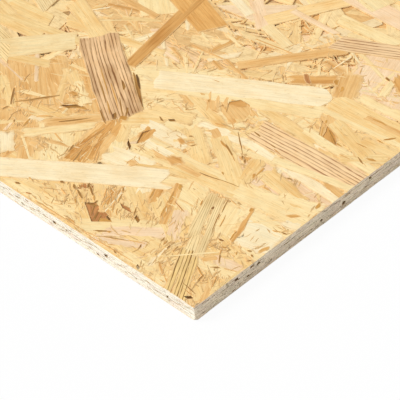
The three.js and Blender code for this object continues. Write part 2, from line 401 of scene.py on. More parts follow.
# The strands round the corner of the front and right edges, from the lowest to the highest. Each row
# gives the distances of the strand's middle from the short and the long edge, its length and width, its
# turn from the panel's length in degrees, its wood and its outline.
cornerStrands = [
    # Broad strands, mostly hidden
    (215, 50, 90, 40, -40, "tan", "soft"),
    (190, 85, 70, 36, -35, "tan", "soft"),
    (185, 35, 60, 40, -45, "tan", "soft"),
    (160, 45, 60, 36, -45, "straw", "soft"),
    (140, 14, 90, 30, 5, "straw", "soft"),
    (110, 25, 60, 30, -20, "straw", "soft"),
    (60, 14, 100, 30, 5, "straw", "soft"),
    (12, 25, 50, 36, -20, "straw", "soft"),
    (60, 45, 70, 32, -20, "straw", "soft"),
    (20, 65, 60, 36, 0, "cream", "soft"),
    (40, 150, 120, 36, -3, "straw", "soft"),
    (95, 150, 80, 30, 10, "cream", "soft"),
    (135, 112, 90, 36, 0, "cream", "soft"),
    (90, 115, 80, 30, 5, "cream", "soft"),
    (25, 103, 80, 24, -3, "pink", "soft"),
    (130, 80, 50, 36, 0, "cream", "soft"),
    (48, 205, 70, 44, -70, "pink", "soft"),
    (20, 165, 80, 26, -8, "straw", "soft"),
    (150, 135, 60, 24, 35, "cream", "soft"),
    # Round the far end of the front edge
    (212, 66, 60, 26, -38, "tan", "plain"),
    (222, 58, 40, 9, -30, "straw", "soft"),
    (205, 86, 56, 18, -32, "tan", "soft"),
    (196, 92, 26, 8, -30, "straw", "soft"),
    (186, 86, 26, 10, -28, "cream", "soft"),
    (194, 48, 46, 16, -52, "tan", "soft"),
    (178, 36, 46, 11, -48, "tan", "soft"),
    (184, 60, 30, 14, 10, "straw", "soft"),
    (163, 46, 44, 22, -45, "cream", "soft"),
    # Beside the front edge
    (140, 9, 70, 9, 6, "cream", "soft"),
    (100, 5, 120, 6, 1, "cream", "soft"),
    (125, 13, 50, 6, 8, "straw", "plain"),
    (60, 5, 70, 6, -1, "cream", "soft"),
    (112, 18, 40, 12, -28, "straw", "soft"),
    (112, 30, 26, 12, -40, "straw", "soft"),
    (119, 30, 13, 6, 50, "rust", "soft"),
    (88, 41, 40, 14, -30, "straw", "soft"),
    (93, 52, 12, 12, -50, "ivory", "soft"),
    (98, 29, 24, 9, -60, "tan", "plain"),
    (101, 31, 20, 4, -62, "honey", "soft"),
    # The near corner
    (8, 8, 16, 7, -35, "tan", "plain"),
    (18, 15, 40, 12, -28, "straw", "soft"),
    (4, 14, 20, 5, -60, "tan", "soft"),
    (50, 20, 46, 14, 2, "straw", "soft"),
    (76, 20, 54, 13, 37, "cream", "plain"),
    (70, 10, 34, 7, 27, "pink", "plain"),
    (66, 24, 46, 12, 40, "pink", "soft"),
    (12, 29, 40, 9, 12, "cream", "soft"),
    (8, 20, 22, 5, -35, "straw", "wedge"),
    (20, 35, 14, 7, 50, "tan", "wedge"),
    (5, 38, 30, 8, 12, "pink", "soft"),
    (14, 46, 34, 9, -12, "straw", "soft"),
    (62, 44, 40, 20, -30, "straw", "soft"),
    (58, 62, 40, 22, -10, "cream", "soft"),
    (56, 42, 26, 12, -58, "pink", "soft"),
    (83, 51, 17, 8, -62, "tan", "soft"),
    (82, 54, 12, 3, -66, "honey", "soft"),
    (69.5, 50, 36, 8, -61, "tan", "soft"),
    (74, 57, 26, 4, -60, "honey", "soft"),
    (84, 67, 18, 9, 30, "cream", "soft"),
    (68.5, 46, 18, 4.5, -64, "honey", "soft"),
    (37, 62, 24, 15, -70, "cream", "plain"),
    (13, 64, 26, 22, 12, "ivory", "soft"),
    (8, 56, 22, 6, 10, "ivory", "plain"),
    (12, 76, 46, 9, 4, "cream", "soft"),
    # The middle
    (143, 59, 48, 22, -76, "tan", "soft"),
    (149, 60, 36, 7, -87, "honey", "soft"),
    (143, 49, 20, 9, -70, "honey", "soft"),
    (138, 53, 18, 5, -60, "honey", "soft"),
    (147, 52, 30, 9, -82, "honey", "soft"),
    (147, 82, 28, 14, -72, "honey", "soft"),
    (141, 60, 26, 5, -66, "honey", "soft"),
    (136, 74, 30, 8, -60, "straw", "soft"),
    (128, 62, 26, 10, -50, "cream", "soft"),
    (115, 62, 32, 18, 12, "ivory", "soft"),
    (98, 67, 44, 8, 25, "straw", "soft"),
    (138, 95, 30, 16, 40, "straw", "soft"),
    (116, 93, 34, 12, 4, "ivory", "plain"),
    (94, 97, 34, 14, -35, "straw", "soft"),
    (105, 96, 14, 4, 45, "straw", "plain"),
    (60, 84, 122, 16, 7, "cream", "plain"),
    (84, 79, 66, 11, 6, "straw", "soft"),
    (92, 78, 40, 6, 4, "tan", "soft"),
    (70, 76, 50, 4, 8, "straw", "soft"),
    (30, 92, 52, 8, 6, "cream", "soft"),
    (5, 83, 14, 8, 20, "ivory", "soft"),
    (111, 80.5, 26, 8, 2, "ivory", "soft"),
    (126, 85.5, 15, 9, -80, "honey", "soft"),
    # Above the middle
    (152, 118, 36, 18, 30, "cream", "soft"),
    (128, 108, 30, 12, 20, "straw", "soft"),
    (140, 128, 36, 9, -14, "tan", "soft"),
    (112, 124, 60, 8, -14, "straw", "plain"),
    (118, 134, 22, 10, -52, "tan", "soft"),
    (101, 137, 23, 17, -20, "tan", "roundStart"),
    (106, 142, 18, 8, 35, "honey", "soft"),
    (96, 135, 14, 12, -20, "straw", "plain"),
    (84, 116, 34, 7, 14, "ivory", "plain"),
    (98, 116, 24, 6, 12, "ivory", "soft"),
    (80, 107, 42, 8, -22, "tan", "wedge"),
    (70, 99, 50, 12, -32, "straw", "plain"),
    (55, 102, 24, 10, -75, "straw", "soft"),
    (48, 104, 14, 5, 40, "straw", "plain"),
    (30, 103, 36, 12, -10, "straw", "plain"),
    (14, 100, 28, 9, 12, "cream", "plain"),
    (6, 120, 20, 6, -12, "tan", "soft"),
    (36, 117, 76, 7, -3, "ivory", "plain"),
    (62, 113, 30, 5, 10, "cream", "soft"),
    # Beside the right edge
    (66, 146, 50, 9, -4, "straw", "soft"),
    (28, 148, 60, 8, -2, "cream", "soft"),
    (12, 152, 28, 8, 38, "straw", "plain"),
    (46, 160, 26, 11, -38, "tan", "soft"),
    (30, 160, 40, 12, -18, "straw", "plain"),
    (12, 165, 26, 9, 6, "straw", "soft"),
    (64, 196, 26, 16, -62, "tan", "soft"),
    (84, 188, 30, 9, 38, "honey", "soft"),
    (44, 210, 16, 6, -75, "cream", "plain"),
    (40, 218, 18, 10, -30, "honey", "soft"),
    (30, 194, 44, 8, 2, "cream", "soft"),
    (27, 181, 72, 17, 1, "straw", "roundStart"),
    (22, 182, 34, 7, 2, "tan", "soft"),
    (34, 172, 66, 5, 5, "cream", "plain"),
    # On top
    (50, 55, 40, 6, -65, "olive", "soft"),
    (45, 50, 54, 6, -62, "olive", "soft"),
    (39, 52, 50, 5, -60, "olive", "soft"),
    (34, 34, 22, 5, -57, "olive", "soft"),
    (28.5, 14, 38, 4.6, -62, "oliveDark", "soft"),
    (23.5, 15, 42, 5, -59.5, "oliveDark", "soft"),
    (18.5, 14, 38, 4.6, -58, "oliveDark", "soft"),
    (30, 30, 36, 1.6, 47, "cream", "lens"),
    (25.6, 64.5, 30, 3.4, -70, "honey", "lens"),
    (169, 66, 36, 9, 48, "tan", "soft"),
    (170, 54, 44, 7, 50, "cream", "soft"),
    (186, 26, 20, 10, -40, "ivory", "soft"),
    (184.4, 110.4, 86, 26.5, -32.5, "bark", "plain"),
    (133.4, 33.6, 112, 17.5, 34, "ivory", "plain"),
    (30, 132, 98, 18, 1.5, "larch", "plain"),
    (22, 123.5, 62, 6.5, 12, "cream", "plain"),
    (100, 147, 92, 10, 23.5, "cream", "plain"),
    (112, 153.6, 112, 18, 29.6, "ivory", "roundFinish"),
]

# Dark marks there: bark, resin and torn fibres, and some painted shade in small gaps, in a slit and a crack
# and along strand edges, in rows like those above without an outline
cornerMarks = [
    # Beside the front edge
    (65.5, 2.5, 4, 1.2, -30, "umber"), (84, 9, 8, 1.7, 35, "umber"), (80, 11.5, 3, 1.5, 40, "amber"),
    (57.5, 14.5, 4, 1, -65, "umber"), (62, 16, 10, 0.8, 25, "amber"), (74, 9.5, 18, 0.8, 28, "umber"),
    (110, 2.4, 46, 1, 1, "tan"), (75, 2.4, 30, 0.8, 3, "honey"), (60, 3.2, 16, 0.8, 2, "tan"),
    (152, 5.3, 4, 2, 20, "umber"), (140, 3.6, 4, 1.2, 20, "rust"), (103, 4, 6, 1.6, 0, "honey"),
    # Most of the umber marks on this line and the next paint the shade in dark gaps between slivers
    (116.5, 22.5, 9, 1.9, -25, "umber"), (124, 25, 5, 1.9, -30, "umber"), (132.5, 23, 3.4, 2, 20, "umber"),
    (113.5, 29, 9, 1.7, -30, "umber"), (118, 31, 5, 2, -50, "umber"), (104, 23.5, 4, 1.8, -70, "umber"),
    (108, 26, 6, 1.2, -40, "amber"), (100, 41.5, 5, 1.2, -45, "umber"), (121, 27, 4, 1.2, -20, "umber"),
    (114, 17, 4, 1.2, -40, "amber"), (126, 18, 7, 1, -15, "honey"), (93, 27, 8, 0.9, -50, "amber"),
    (81, 33, 7, 0.9, -55, "umber"), (89, 26, 6, 0.8, -45, "honey"), (96, 35, 7, 0.9, -60, "amber"),
    (149.5, 13, 2.5, 1.2, 0, "amber"), (178, 20, 3, 1.5, -80, "honey"), (106, 33, 8, 0.8, -55, "honey"),
    # The near corner
    (13.8, 19, 6, 1.4, -80, "umber"), (18, 22.5, 10, 1.1, -25, "amber"), (26.5, 48, 4, 1.6, 10, "umber"),
    (21, 45, 4, 1.2, 30, "amber"), (17.5, 45, 2.5, 1.2, 60, "umber"), (12.5, 46, 3, 1.2, -60, "amber"),
    (8.5, 52, 2.5, 1.2, 30, "umber"), (4.5, 50, 2.5, 1.2, -20, "umber"), (3, 46, 3, 1, 60, "umber"),
    (20, 41, 4, 1, -60, "honey"), (16.5, 36.5, 7, 1.1, -50, "umber"), (13.5, 30, 5.5, 1.3, 35, "umber"),
    (31, 77.2, 4, 3, -60, "amber"), (3.5, 75, 4, 1.2, 10, "umber"), (8, 73.5, 5, 1.2, 25, "honey"),
    # The rust line at 64.5, 52.5 is a painted shadow along a strand edge
    (24, 55, 8, 1.6, -72, "amber"), (64.5, 52.5, 11, 0.8, -15, "rust"), (76, 64.5, 6, 2.6, -45, "amber"),
    (74, 55, 10, 1.4, -62, "amber"), (69, 44, 9, 1.6, -66, "amber"), (84.5, 50, 8, 1.4, -66, "amber"),
    (57, 63, 5, 1.2, -60, "amber"), (49, 64, 3, 1.8, -60, "umber"), (45, 70, 12, 0.8, -65, "umber"),
    (39, 56, 16, 0.8, -62, "umber"), (37, 60, 10, 0.7, -65, "amber"), (52, 27, 4, 1, -80, "umber"),
    (49, 26, 4, 0.9, -80, "amber"), (45, 25, 4, 0.9, -80, "umber"), (41, 26, 5, 0.8, -75, "amber"),
    # The umber lines at 70, 82.4 and 58, 85.4 paint the shade in a slit
    (66, 89.5, 3, 1.2, -30, "amber"), (70, 82.4, 14, 1.2, 12, "umber"), (58, 85.4, 16, 0.8, 12, "umber"),
    (9.5, 89, 8, 3.4, 40, "honey"), (95, 79.5, 12, 9, 5, "honey"), (3, 58, 8, 3, 80, "honey"),
    (13, 9, 12, 0.9, -8, "umber"), (11, 6.5, 9, 0.7, -5, "honey"), (6, 22, 9, 0.8, -60, "honey"),
    # The middle
    (146.5, 52, 22, 2.6, -84, "honey"), (140, 50, 16, 1.8, -64, "honey"), (137, 55, 14, 1.4, -58, "honey"),
    (143, 45, 12, 1.2, -70, "umber"), (133, 52, 10, 1, -52, "honey"), (149, 64, 18, 2, -86, "honey"),
    (144, 66, 20, 0.9, -76, "honey"), (151, 47, 7, 1.6, -70, "umber"), (136, 45, 5, 1, -80, "amber"),
    (148, 87, 7, 6, 0, "amber"), (153, 85, 8, 3, -42, "umber"), (154, 84.5, 4, 1.2, -42, "char"),
    (158, 79.5, 15, 1.6, -28, "umber"),
    (169, 66.5, 20, 2, 50, "umber"), (163, 70, 14, 0.9, 50, "amber"), (175, 62, 16, 1, 48, "amber"),
    (113, 61.5, 5.5, 5, 20, "tan"), (115.5, 61.5, 6, 0.7, -84, "honey"), (112.5, 64, 6, 0.6, -10, "honey"),
    (111, 60.5, 5, 0.6, 70, "honey"), (105, 94, 7, 4, -10, "honey"), (100, 97, 5, 1.5, 50, "honey"),
    (104, 101, 3, 1.2, 30, "umber"), (97, 96, 4, 1, 60, "umber"),
    # Above the middle
    (75, 128, 7, 1.6, -8, "umber"), (60, 126, 5, 1.2, -5, "umber"), (55, 124, 7, 1, -10, "honey"),
    (33, 111, 4, 1.4, 15, "umber"), (63.5, 105.5, 4, 1.4, -50, "umber"), (67, 107, 3, 1.2, -50, "umber"),
    # The umber mark at 78, 107 is a painted shadow along a strand edge
    (78, 107, 12, 2, -25, "umber"), (84, 108.5, 8, 1.8, -18, "amber"), (72, 104, 9, 1, -30, "honey"),
    (50.5, 99.5, 5, 2, -60, "amber"), (50, 104, 9, 1.6, -80, "amber"), (4.5, 104.5, 6, 3, -70, "amber"),
    # The umber line at 77, 115.5 paints the shade in a crack along a strand edge
    (77, 115.5, 21, 0.8, -38, "umber"), (129, 101, 6, 1.5, -20, "umber"), (85, 126, 4, 1.4, 20, "honey"),
    (119.5, 132, 4, 1.9, -50, "amber"), (115, 135, 12, 3.2, -50, "tan"), (110.5, 138, 11, 3.4, -52, "tan"),
    (122, 135.5, 11, 2.4, -47, "tan"), (127, 134, 5, 2.4, 10, "tan"), (130, 148.5, 6, 1.2, 15, "honey"),
    (98, 120, 8, 1.8, 20, "honey"), (105, 142.5, 11, 4, 30, "honey"), (110, 127, 5, 1.2, 10, "honey"),
    # Beside the right edge
    (12.5, 149.5, 8, 1.5, -25, "umber"), (33, 152, 8, 1.4, -5, "amber"), (51.5, 163, 4, 1.6, -50, "amber"),
    (21, 160, 8, 1.1, 5, "amber"), (15, 169.5, 5, 1.2, 0, "amber"), (12, 175, 8, 2, 55, "amber"),
    (8, 154, 7, 2, 20, "amber"), (27, 183, 11, 2.4, 5, "amber"), (22, 146, 8, 1, 5, "honey"),
    (72, 195, 7, 4, -60, "amber"), (65, 192, 7, 3, -60, "amber"), (88, 186, 11, 4, -35, "rust"),
    (50, 217, 5, 2, -20, "umber"),
    # The far end of the front edge
    (202.5, 65, 28, 1.8, 53, "umber"), (211, 47, 5, 1.6, 80, "umber"), (216, 57, 16, 1.5, -48, "umber"),
    (180, 74, 16, 3.6, 33, "umber"), (174, 77, 9, 3, 25, "amber"), (190, 46, 8, 1.6, -75, "amber"),
    (197, 42, 3, 1.2, -50, "umber"),
    (188, 83, 9, 5, 0, "honey"), (186, 57, 10, 1.8, 40, "honey"),
    # Along the bark
    (160, 111, 38, 2.8, -34, "umber"), (166, 117, 16, 2.6, -36, "char"), (171, 109, 11, 3, -36, "umber"),
    (156, 93, 20, 1.4, -38, "umber"), (167, 98, 28, 1.2, -33, "amber"), (150, 92, 10, 2.4, -50, "umber"),
    (177, 97, 26, 1.2, -33, "umber"), (183, 104, 30, 1.4, -34, "amber"), (162, 88, 14, 1.4, -36, "amber"),
]

# Rough patches there, where fine fibres lie torn: the distances of the patch's middle, its size along
# and across the fibres, how they turn, how far they stray from that, and how many they are
roughPatches = [
    (118, 25, 36, 16, -40, 25, 60), (100, 33, 30, 14, -55, 25, 45), (128, 12, 50, 12, -10, 30, 45),
    (45, 22, 36, 22, -72, 22, 45), (46, 42, 28, 30, -60, 22, 60), (20, 45, 34, 10, 5, 50, 55),
    (15, 15, 30, 24, -40, 35, 50), (8, 26, 20, 12, -50, 30, 30), (36, 10, 30, 16, -62, 25, 35),
    (145, 50, 40, 22, -75, 18, 35), (163, 38, 34, 16, -25, 22, 40), (172, 70, 24, 24, 50, 20, 30),
    (155, 86, 20, 12, -40, 20, 25), (62, 108, 44, 16, -40, 25, 55), (28, 105, 44, 14, -50, 40, 40),
    (48, 157, 26, 18, -55, 25, 45), (20, 158, 36, 24, -15, 30, 45), (115, 136, 24, 14, -50, 15, 30),
    (50, 60, 30, 16, -62, 12, 50),
    (138, 116, 44, 22, 0, 50, 40), (103, 97, 22, 16, 45, 40, 30), (82, 31, 24, 12, -45, 30, 30),
    (5, 75, 14, 14, 20, 30, 16), (5, 104, 20, 8, -70, 20, 14), (80, 3, 150, 4, 1, 8, 60),
    (70, 13, 40, 12, 28, 18, 18), (66, 38, 26, 14, -60, 20, 25), (120, 76, 22, 16, -40, 30, 20),
    (195, 45, 34, 16, -45, 30, 30), (210, 60, 30, 20, -45, 25, 20), (60, 124, 70, 6, -5, 12, 25),
    (30, 148, 50, 8, 0, 12, 25), (85, 125, 30, 12, 20, 25, 20), (190, 85, 30, 14, -30, 30, 20),
    (8, 60, 12, 20, 80, 20, 12), (60, 72, 50, 6, 8, 15, 20), (150, 150, 50, 24, 20, 30, 15),
    (75, 200, 50, 24, -40, 35, 50), (30, 205, 50, 24, 0, 35, 40), (190, 110, 60, 24, -34, 10, 50),
]

# The gaps that stay open there, through to darker wood below. The last entry of some is their outline.
cornerGaps = [
    (97, 17.5, 24, 9.5, -8, [(109, 19.5), (94, 11), (85, 18.5), (90, 21), (104, 23.5)]),
    (87.5, 32, 11, 2.7, -8), (75.5, 29.5, 6.5, 2.7, -35), (8, 4, 5, 2.6, 28), (46.5, 2.4, 4.5, 2, -40),
    (0.6, 2.8, 4.6, 1.3, 87), (125.5, 83, 15, 6.5, -82), (127, 72, 9, 2, -38), (180, 74.5, 13, 4.2, 33),
    (123.5, 104.5, 5, 2.8, 20),
    (43, 156, 24, 8, -35, [(53.5, 162), (47, 151.5), (32, 150.5), (39, 157)]), (98, 137, 22, 15, -20,
     [(109, 139), (104, 131.5), (96, 129.5), (90.5, 133), (92, 140), (98, 145), (105, 145)]),
]

# The strands that show in those gaps, from the lowest up, and last how high the top of each lies
gapFloors = [
    (97, 17.5, 30, 14, -62, "rust", 10.05), (104, 19, 16, 4, -40, "rust", 10.15),
    (105, 21.5, 7, 1.6, 20, "umber", 10.25), (101.5, 19, 8, 0.7, -58, "umber", 10.3),
    (96.5, 17, 8, 0.8, -64, "umber", 10.3), (92.5, 15.5, 7, 0.8, -60, "umber", 10.3),
    (89, 19.5, 5, 1.2, -20, "char", 10.3),
    (98.5, 25.5, 11, 5, -62, "tan", 10.7), (88.5, 17.5, 9, 3, 30, "amber", 10.25),
    (87, 32, 14, 6, -8, "rust", 10.05), (75.5, 29.5, 11, 6, -35, "umber", 10.05),
    (125.5, 83, 20, 10, -82, "amber", 10.05), (123.8, 84.5, 14, 5, -76, "honey", 10.6),
    (127, 72, 14, 6, -38, "char", 10.2),
    (0.9, 2.8, 7, 3, 87, "char", 10.1), (8, 4, 10, 6.5, 28, "char", 10.1),
    (46.5, 2.4, 10, 6, -40, "umber", 10.1),
    (179, 74, 17, 8, 30, "umber", 10.05), (123.5, 104.5, 10, 7, 20, "umber", 10.1),
    (43, 156, 30, 14, -36, "honey", 10.05), (43, 157.5, 18, 2.6, -38, "amber", 10.2),
    (40, 155.5, 14, 1, -32, "umber", 10.25), (50, 155.5, 14, 7, -60, "tan", 10.55),
    (49.5, 154, 10, 0.8, -62, "umber", 10.62), (47.5, 155, 9, 0.7, -58, "amber", 10.62),
    (98, 137, 28, 20, -20, "tan", 10.5),
    (106, 141.5, 15, 7, 35, "honey", 10.6),
]

cornerLook = {
    "lowest": 10.6,  # tops of the strands in the list, from the first to the last
    "highest": 10.965,
    "grid": (11, 7),
    "woodSpread": 0.01,  # how far a listed strand strays from its wood's colour
    "marks": (10.972, 10.99),  # no two at one height, where they cross
    "markShape": {"rows": 6, "columns": 5, "tilt": 0, "bow": 0, "lens": 0.7, "soften": 0.9},
    "floorShape": {"rows": 6, "columns": 5, "tilt": 0, "bow": 0, "soften": 0.2},
    "markShoulder": 0.4,  # against its width
    "markCurl": 0.2,
    "gapLeast": 9.93,  # strands whose tops are lower than this run on under the gaps
    "reach": (245, 235),  # how far this part of the face goes from the short and the long edge
    # The part that the listed strands cover: a line for each side, as its share of the distance from the
    # short edge, its share of that from the long edge, and the most that they may add up to
    "listedTo": [(0.84, 1, 262), (0.9, -1, 150), (-1.17, 1, 192)],
}

# Small bits between and on the strands: broken fragments, and fine slivers of single fibre bundles
bits = {
    "fragment": {"length": (8, 42), "width": (2, 9), "tops": (10.55, 10.8), "grid": (4, 3), "lens": 0.3,
                 "inCorner": 420, "elsewhere": 1000},
    "sliver": {"length": (3, 14), "width": (0.4, 1.4), "tops": (10.58, 10.86), "grid": (3, 2), "lens": 0.8,
               "inCorner": 1800, "elsewhere": 1400},
    "shortShare": 1.7,  # the higher, the more of them are short
    "narrowShare": 1.5,
    "turn": 50,
    "curl": 0.05,
    "taper": 0.5,
    "slant": 50,
    "woods": {"ivory": 0.1, "cream": 0.32, "straw": 0.3, "pink": 0.08, "tan": 0.12, "honey": 0.06},
}

# Fine torn fibres, which lie in patches
fibres = {
    "length": (1.5, 8), "width": (0.35, 1.1), "tops": (10.86, 10.99), "curl": 0.06,
    "shape": {"rows": 3, "columns": 2, "tilt": 0, "bow": 0, "lens": 0.9},
    "spread": 0.28,  # of a patch's fibres, against its size
    "woods": {"umber": 0.36, "char": 0.05, "amber": 0.2, "honey": 0.14, "olive": 0.05, "cream": 0.14,
              "ivory": 0.06},
    "woodSpread": 0.06,
    "patchesElsewhere": 110, "patchLength": (20, 50), "patchWidth": (10, 24), "patchTurn": 40,
    "patchStray": 25, "patchCount": (8, 26),
}


def roughen(x, y, length, width, turn, stray, count):
    made = []
    for _ in range(count):
        u, v = dice.normal(0, fibres["spread"], 2) * (length, width)
        size = dice.uniform(*fibres["length"])
        fibre = makeStrand(*placed(x, y, u, v, math.radians(turn)), dice.uniform(*fibres["tops"]), size,
                           dice.uniform(*fibres["width"]), turn + dice.normal(0, stray),
                           curl=dice.normal(0, fibres["curl"]) * size, **fibres["shape"])
        made.append(withLook(fibre, drawWoods(fibres["woods"]), fibres["woodSpread"]))
    return made


def roughenFace():
    made = []
    for _ in range(fibres["patchesElsewhere"]):
        x, y = dice.uniform(panelLow[:2], panelHigh[:2])
        made += roughen(x, y, dice.uniform(*fibres["patchLength"]), dice.uniform(*fibres["patchWidth"]),
                        dice.normal(0, fibres["patchTurn"]), fibres["patchStray"],
                        dice.integers(*fibres["patchCount"]))
    return made


def makeBit(kind, x, y, wood):
    size = bits[kind]
    length, width = (size[side][0] + (size[side][1] - size[side][0]) * dice.random() ** bits[share]
                     for side, share in (("length", "shortShare"), ("width", "narrowShare")))
    turn = dice.normal(0, bits["turn"])
    top = dice.uniform(*size["tops"])
    curl = dice.normal(0, bits["curl"]) * length
    bit = makeStrand(x, y, top, length, width, turn, *size["grid"], taper=dice.uniform(0, bits["taper"]),
                     curl=curl, tilt=0.02, bow=0.01, lens=size["lens"],
                     slants=tuple(dice.uniform(-bits["slant"], bits["slant"], 2)))
    return withLook(bit, wood)


def strewBits(kind, count, low, high):  # over the box between two corners
    return [makeBit(kind, dice.uniform(low[0], high[0]), dice.uniform(low[1], high[1]), wood)
            for wood in drawWoods(bits["woods"], count)]


def cornerPlace(fromEnd, fromSide):
    return panelHigh[0] - fromEnd, panelLow[1] + fromSide


def makeCornerStrands():
    look, made = cornerLook, []
    for index, (fromEnd, fromSide, length, width, turn, wood, outline) in enumerate(cornerStrands):
        share = index / (len(cornerStrands) - 1)
        top = look["lowest"] + share * (look["highest"] - look["lowest"])
        strand = makeStrand(*cornerPlace(fromEnd, fromSide), top, length, width, turn, *look["grid"],
                            tilt=0.001, bow=0, **outlines[outline])
        made.append(withLook(strand, wood, look["woodSpread"]))
    for fromEnd, fromSide, length, width, turn, wood in cornerMarks:
        mark = makeStrand(*cornerPlace(fromEnd, fromSide), dice.uniform(*look["marks"]), length, width, turn,
                          shoulder=width * look["markShoulder"], curl=dice.normal(0, look["markCurl"]),
                          **look["markShape"])
        made.append(withLook(mark, wood))
    for fromEnd, fromSide, *patch in roughPatches:
        made += roughen(*cornerPlace(fromEnd, fromSide), *patch)
    return made


def openCornerGaps(strands):
    for fromEnd, fromSide, length, width, turn, *outline in cornerGaps:
        x, y = cornerPlace(fromEnd, fromSide)
        gap = {"x": x, "y": y, "length": length, "width": width, "turn": turn,
               "above": cornerLook["gapLeast"]}
        if outline:
            gap["corners"] = [cornerPlace(*corner) for corner in outline[0]]
        strands = carved(strands, gap)
    for fromEnd, fromSide, length, width, turn, wood, top in gapFloors:
        floor = makeStrand(*cornerPlace(fromEnd, fromSide), top, length, width, turn,
                           **cornerLook["floorShape"])
        strands.append(sawnOff(withLook(floor, wood, cornerLook["woodSpread"])))
    return strands


strewing = {
    "length": (92, 28, 30, 150),  # mean, deviation, least and most
    "width": (14, 0.4, 4, 30),  # median, spread of its logarithm, least and most
    "meanWidth": 1.1,  # against the median
    "turn": 33,
    "slant": (22, 50),  # deviation and most
    "taper": 0.3,
    "soften": (0.5, 0.95),
    "woods": {"ivory": 0.14, "cream": 0.25, "straw": 0.26, "pink": 0.12, "tan": 0.11, "honey": 0.04,
              "larch": 0.03, "olive": 0.03, "bark": 0.02},
}

faceLayers = [  # from the core outward: how many times they cover the face, where their tops lie, their grid
    {"cover": 1.5, "tops": (9.5, 9.9), "grid": (2, 2)},
    {"cover": 1.5, "tops": (10.3, 10.48), "grid": (2, 2)},
    {"cover": 1.7, "tops": (10.78, 10.93), "grid": (4, 4)},
]

# Strands that lie along the sides just under the face, so that the face is closed right up to the saw cut
rimStrands = {
    "length": (70, 110), "width": (10, 16), "step": (28, 50), "inward": (0, 5), "turn": 7, "grid": (2, 3),
    "tops": (10.5, 10.58), "topsUnder": (10.68, 10.78), "woods": ["cream", "straw", "pink", "tan"],
}


def strewStrands(layer, keepOut=None):
    spread = strewing
    count = int(layer["cover"] * (panelSize[0] * panelSize[1])
                / (spread["length"][0] * spread["width"][0] * spread["meanWidth"]))
    kinds = drawWoods(spread["woods"], count)
    made = []
    for index, wood in enumerate(kinds):
        length = float(np.clip(dice.normal(*spread["length"][:2]), *spread["length"][2:]))
        width = spread["width"][0] * math.exp(dice.normal(0, spread["width"][1]))
        width = float(np.clip(width, *spread["width"][2:]))
        x, y = dice.uniform(panelLow[0], panelHigh[0]), dice.uniform(panelLow[1], panelHigh[1])
        turn = dice.normal(0, spread["turn"])
        top = layer["tops"][0] + index / count * (layer["tops"][1] - layer["tops"][0])
        deviation, most = spread["slant"]
        slants = tuple(np.clip(dice.normal(0, deviation, 2), -most, most))
        strand = makeStrand(x, y, top, length, width, turn, *layer["grid"], tilt=0.02, bow=0.01,
                            taper=dice.uniform(0, spread["taper"]), slants=slants, curl=dice.normal(0, 1),
                            soften=dice.uniform(*spread["soften"]))
        withLook(strand, wood)
        if not keepOut or not keepOut(strand["points"]):
            made.append(strand)
    return made


def makeRimStrands(tops):
    rim = rimStrands
    made = []
    for axis, way, _ in sawCuts:
        along = 1 - axis
        at = panelLow[along]
        while at < panelLow[along] + panelSize[along]:
            middle = np.zeros(2)
            middle[along] = at
            middle[axis] = sideAt(axis, way) - way * dice.uniform(*rim["inward"])
            turn = (90 if axis == 0 else 0) + dice.normal(0, rim["turn"])
            strand = makeStrand(*middle, dice.uniform(*tops), dice.uniform(*rim["length"]),
                                dice.uniform(*rim["width"]), turn, *rim["grid"], tilt=0.01, bow=0.01)
            made.append(withLook(strand, dice.choice(rim["woods"])))
            at += dice.uniform(*rim["step"])
    return made


def reachesCorner(points):
    fromEnd, fromSide = cornerLook["reach"]
    return panelHigh[0] - points[:, 0].max() < fromEnd and points[:, 1].min() - panelLow[1] < fromSide


def reachesListed(points):
    fromEnd, fromSide = panelHigh[0] - points[:, 0], points[:, 1] - panelLow[1]
    return np.all([endShare * fromEnd + sideShare * fromSide < most
                   for endShare, sideShare, most in cornerLook["listedTo"]], 0).any()


# A node with its settings, and a value or link for each input. A node given as an input links from its
# first output that is in use.
def addNode(tree, kind, inputs=(), **settings):
    node = tree.nodes.new("ShaderNode" + kind)
    for key, value in settings.items():
        setattr(node, key, value)
    for key, value in inputs.items() if isinstance(inputs, dict) else enumerate(inputs):
        if isinstance(value, bpy.types.Node):
            value = next(socket for socket in value.outputs if socket.enabled)
        if isinstance(value, bpy.types.NodeSocket):
            tree.links.new(value, node.inputs[key])
        else:
            node.inputs[key].default_value = value
    return node


def newMaterial(name):
    material = bpy.data.materials.new(name)
    material.use_nodes = True
    tree = material.node_tree
    tree.nodes.clear()
    return material, partial(addNode, tree)


# Patchy noise, and the level that it becomes: scale turns places into patches, and the part of the noise
# from low to high takes the levels from toLow to toHigh
def addPatches(add, source, scale, low, high, toLow, toHigh, detail, rough):
    scaled = add("VectorMath", (source, scale), operation="MULTIPLY")
    noise = add("TexNoise", {"Vector": scaled, "Scale": 1.0, "Detail": detail, "Roughness": rough})
    return noise, add("MapRange", (noise, low, high, toLow, toHigh))


# The patterns of the pressed wood: the length and width of their patches in mm, the noise that shows, the
# levels that it takes, and the noise's detail and roughness
pressedPatterns = {
    "slowBend": (110, 40, 0.2, 0.8, -1.1, 1.1, 1.0, 0.5),
    "quickBend": (12, 4, 0.2, 0.8, -0.12, 0.12, 2.0, 0.5),
    "unevenBend": (300, 7, 0.3, 0.7, -0.35, 0.35, 1.0, 0.5),
    "broken": (8, 1.5, 0.35, 0.6, 0.45, 1.0, 1.0, 0.5),
    "streaks": (60, 2.2, 0.45, 0.75, 0.0, 1.0, 3.0, 0.6),
    "blotches": (26, 9, 0.48, 0.72, 0.0, 1.0, 2.0, 0.5),
    "stain": (18, 13, 0.45, 0.75, 0.0, 0.4, 3.0, 0.6),
    "fleck": (2.2, 1.6, 0.58, 0.75, 0.0, 0.35, 2.0, 0.6),
    # where the strand edges darken: dirt, and painted shade of the crevices between strands
    "dirtAndShade": (5, 5, 0.5, 0.7, 0.0, 0.75, 2.0, 0.6),
    "fibre": (12, 0.5, 0.25, 0.75, 0.84, 1.15, 3.0, 0.65),
    "dashes": (4, 0.6, 0.68, 0.78, 0.0, 1.2, 1.0, 0.5),
}
